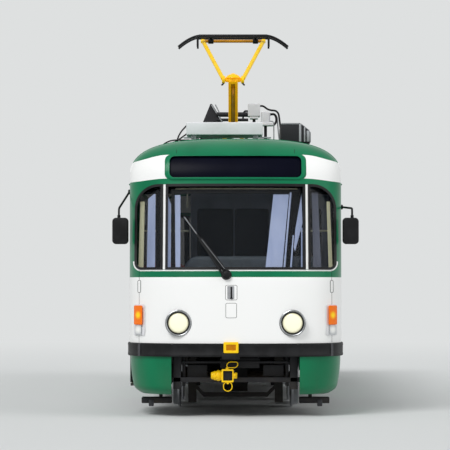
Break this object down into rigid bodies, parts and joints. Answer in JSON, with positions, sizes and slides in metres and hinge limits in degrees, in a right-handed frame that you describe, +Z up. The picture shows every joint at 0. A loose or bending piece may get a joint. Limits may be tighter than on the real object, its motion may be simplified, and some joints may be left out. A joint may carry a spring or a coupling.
{
  "type": "four-axle single-ended tram",
  "caption": "Single-ended electric tram with rounded ends, folding doors on one side, two bogies, roof pantograph and folding couplers",
  "frame": {"origin": "midway along and across the tram, at the level of the wheel flanges' lowest points", "axes": "+Y runs from the front end to the rear end, so the tram faces -Y; +X points to the tram's left side, away from the doors; +Z is up"},
  "size_m": [2.89, 14, 4.775],
  "materials": {
    "body_paint": "glossy green and white body paint in horizontal bands",
    "black_trim": "matt black rubber and plastic",
    "dark_steel": "dark grey underframe paint with brake dust",
    "wheel_steel": "turned steel, bright tread",
    "yellow_paint": "yellow paint",
    "window_glass": "clear tinted glass in black rubber",
    "sign_glass": "blank dark sign behind glass",
    "lamp_glass": "cream headlamp glass in a bright ring",
    "orange_lens": "moulded orange lens",
    "red_lens": "moulded red lens",
    "interior_laminate": "grey laminate panel",
    "seat_laminate": "moulded glass-fibre seat shell",
    "grab_rail": "polished tube",
    "white_equipment": "pale grey roof equipment paint"
  },
  "bodies": {
    "body": {"underframe": "dark_steel", "side_wall_left": "body_paint", "side_wall_right": "body_paint", "roof": "body_paint", "front_end": "body_paint", "rear_end": "body_paint", "windscreen": "window_glass", "rear_window": "window_glass", "side_glass_left": "window_glass", "side_glass_right": "window_glass", "front_bumper": "black_trim", "rear_bumper": "black_trim", "front_skirt": "body_paint", "rear_skirt": "body_paint", "side_skirt_left": "body_paint", "side_skirt_right": "body_paint", "front_sign": "sign_glass", "headlight_left": "lamp_glass", "headlight_right": "lamp_glass", "indicator_left": "orange_lens", "indicator_right": "orange_lens", "tail_lamp_left": "red_lens", "tail_lamp_right": "red_lens", "mirror_left": "black_trim", "mirror_right": "black_trim", "wiper": "black_trim", "cab_partition": "interior_laminate", "dashboard": "interior_laminate", "driver_seat": "seat_laminate", "seats_left": "seat_laminate", "seats_right_front": "seat_laminate", "seats_right_rear": "seat_laminate", "handrails": "grab_rail", "pantograph_base": "dark_steel", "roof_box_front": "white_equipment", "roof_box_resistors": "dark_steel", "underfloor_equipment": "dark_steel"},
    "bogie_front": {"bogie_frame_front": "dark_steel"},
    "bogie_rear": {"bogie_frame_rear": "dark_steel"},
    "wheelset_1": {"wheelset_1": "wheel_steel"},
    "wheelset_2": {"wheelset_2": "wheel_steel"},
    "wheelset_3": {"wheelset_3": "wheel_steel"},
    "wheelset_4": {"wheelset_4": "wheel_steel"},
    "front_door_fore_post_leaf": {"front_door_fore_post_leaf": "body_paint"},
    "front_door_fore_lead_leaf": {"front_door_fore_lead_leaf": "body_paint"},
    "front_door_aft_post_leaf": {"front_door_aft_post_leaf": "body_paint"},
    "front_door_aft_lead_leaf": {"front_door_aft_lead_leaf": "body_paint"},
    "middle_door_fore_post_leaf": {"middle_door_fore_post_leaf": "body_paint"},
    "middle_door_fore_lead_leaf": {"middle_door_fore_lead_leaf": "body_paint"},
    "middle_door_aft_post_leaf": {"middle_door_aft_post_leaf": "body_paint"},
    "middle_door_aft_lead_leaf": {"middle_door_aft_lead_leaf": "body_paint"},
    "rear_door_fore_post_leaf": {"rear_door_fore_post_leaf": "body_paint"},
    "rear_door_fore_lead_leaf": {"rear_door_fore_lead_leaf": "body_paint"},
    "rear_door_aft_post_leaf": {"rear_door_aft_post_leaf": "body_paint"},
    "rear_door_aft_lead_leaf": {"rear_door_aft_lead_leaf": "body_paint"},
    "pantograph_lower_arm": {"pantograph_lower_arm": "yellow_paint"},
    "pantograph_upper_arm": {"pantograph_upper_arm": "yellow_paint"},
    "pantograph_head": {"pantograph_head": "black_trim"},
    "front_coupler": {"front_coupler": "yellow_paint"},
    "rear_coupler": {"rear_coupler": "yellow_paint"}
  },
  "joints": [
    {"name": "bogie_front_swivel", "type": "hinge", "parent": "body", "child": "bogie_front", "pos_m": [0, -3.2, 0.735], "axis": [0, 0, 1], "range_deg": [-9, 9]},
    {"name": "bogie_rear_swivel", "type": "hinge", "parent": "body", "child": "bogie_rear", "pos_m": [0, 3.2, 0.735], "axis": [0, 0, 1], "range_deg": [-9, 9]},
    {"name": "wheelset_1_spin", "type": "hinge", "parent": "bogie_front", "child": "wheelset_1", "pos_m": [0, -4.15, 0.375], "axis": [1, 0, 0], "continuous": true},
    {"name": "wheelset_2_spin", "type": "hinge", "parent": "bogie_front", "child": "wheelset_2", "pos_m": [0, -2.25, 0.375], "axis": [1, 0, 0], "continuous": true},
    {"name": "wheelset_3_spin", "type": "hinge", "parent": "bogie_rear", "child": "wheelset_3", "pos_m": [0, 2.25, 0.375], "axis": [1, 0, 0], "continuous": true},
    {"name": "wheelset_4_spin", "type": "hinge", "parent": "bogie_rear", "child": "wheelset_4", "pos_m": [0, 4.15, 0.375], "axis": [1, 0, 0], "continuous": true},
    {"name": "front_door_fore_open", "type": "hinge", "parent": "body", "child": "front_door_fore_post_leaf", "pos_m": [-1.235, -5.878, 0.36], "axis": [0, 0, -1], "range_deg": [0, 88]},
    {"name": "front_door_fore_fold", "type": "hinge", "parent": "front_door_fore_post_leaf", "child": "front_door_fore_lead_leaf", "pos_m": [-1.253, -5.6015, 0.36], "axis": [0, 0, -1], "range_deg": [-176, 0]},
    {"name": "front_door_aft_open", "type": "hinge", "parent": "body", "child": "front_door_aft_post_leaf", "pos_m": [-1.235, -4.682, 0.36], "axis": [0, 0, 1], "range_deg": [0, 88]},
    {"name": "front_door_aft_fold", "type": "hinge", "parent": "front_door_aft_post_leaf", "child": "front_door_aft_lead_leaf", "pos_m": [-1.253, -4.9585, 0.36], "axis": [0, 0, 1], "range_deg": [-176, 0]},
    {"name": "middle_door_fore_open", "type": "hinge", "parent": "body", "child": "middle_door_fore_post_leaf", "pos_m": [-1.235, -0.598, 0.36], "axis": [0, 0, -1], "range_deg": [0, 88]},
    {"name": "middle_door_fore_fold", "type": "hinge", "parent": "middle_door_fore_post_leaf", "child": "middle_door_fore_lead_leaf", "pos_m": [-1.253, -0.3215, 0.36], "axis": [0, 0, -1], "range_deg": [-176, 0]},
    {"name": "middle_door_aft_open", "type": "hinge", "parent": "body", "child": "middle_door_aft_post_leaf", "pos_m": [-1.235, 0.598, 0.36], "axis": [0, 0, 1], "range_deg": [0, 88]},
    {"name": "middle_door_aft_fold", "type": "hinge", "parent": "middle_door_aft_post_leaf", "child": "middle_door_aft_lead_leaf", "pos_m": [-1.253, 0.3215, 0.36], "axis": [0, 0, 1], "range_deg": [-176, 0]},
    {"name": "rear_door_fore_open", "type": "hinge", "parent": "body", "child": "rear_door_fore_post_leaf", "pos_m": [-1.235, 4.682, 0.36], "axis": [0, 0, -1], "range_deg": [0, 88]},
    {"name": "rear_door_fore_fold", "type": "hinge", "parent": "rear_door_fore_post_leaf", "child": "rear_door_fore_lead_leaf", "pos_m": [-1.253, 4.9585, 0.36], "axis": [0, 0, -1], "range_deg": [-176, 0]},
    {"name": "rear_door_aft_open", "type": "hinge", "parent": "body", "child": "rear_door_aft_post_leaf", "pos_m": [-1.235, 5.878, 0.36], "axis": [0, 0, 1], "range_deg": [0, 88]},
    {"name": "rear_door_aft_fold", "type": "hinge", "parent": "rear_door_aft_post_leaf", "child": "rear_door_aft_lead_leaf", "pos_m": [-1.253, 5.6015, 0.36], "axis": [0, 0, 1], "range_deg": [-176, 0]},
    {"name": "pantograph_raise", "type": "hinge", "parent": "body", "child": "pantograph_lower_arm", "pos_m": [-0.03, -3.2, 3.5], "axis": [-1, 0, 0], "range_deg": [-21, 20]},
    {"name": "pantograph_knee", "type": "hinge", "parent": "pantograph_lower_arm", "child": "pantograph_upper_arm", "pos_m": [-0.03, -4.35326, 4.1], "axis": [-1, 0, 0], "range_deg": [-40, 42]},
    {"name": "pantograph_head_level", "type": "hinge", "parent": "pantograph_upper_arm", "child": "pantograph_head", "pos_m": [-0.03, -3.2, 4.7], "axis": [-1, 0, 0], "range_deg": [-21, 20]},
    {"name": "front_coupler_swing", "type": "hinge", "parent": "body", "child": "front_coupler", "pos_m": [-0.03, -6.8, 0.482], "axis": [0, 0, 1], "range_deg": [0, 90]},
    {"name": "rear_coupler_swing", "type": "hinge", "parent": "body", "child": "rear_coupler", "pos_m": [-0.03, 6.8, 0.482], "axis": [0, 0, -1], "range_deg": [0, 90]}
  ],
  "couplings": [
    {"joint": "front_door_fore_fold", "follows": "front_door_fore_open", "ratio": -2},
    {"joint": "front_door_aft_fold", "follows": "front_door_aft_open", "ratio": -2},
    {"joint": "middle_door_fore_fold", "follows": "middle_door_fore_open", "ratio": -2},
    {"joint": "middle_door_aft_fold", "follows": "middle_door_aft_open", "ratio": -2},
    {"joint": "rear_door_fore_fold", "follows": "rear_door_fore_open", "ratio": -2},
    {"joint": "rear_door_aft_fold", "follows": "rear_door_aft_open", "ratio": -2},
    {"joint": "pantograph_knee", "follows": "pantograph_raise", "ratio": -2},
    {"joint": "pantograph_head_level", "follows": "pantograph_raise", "ratio": 1}
  ]
}
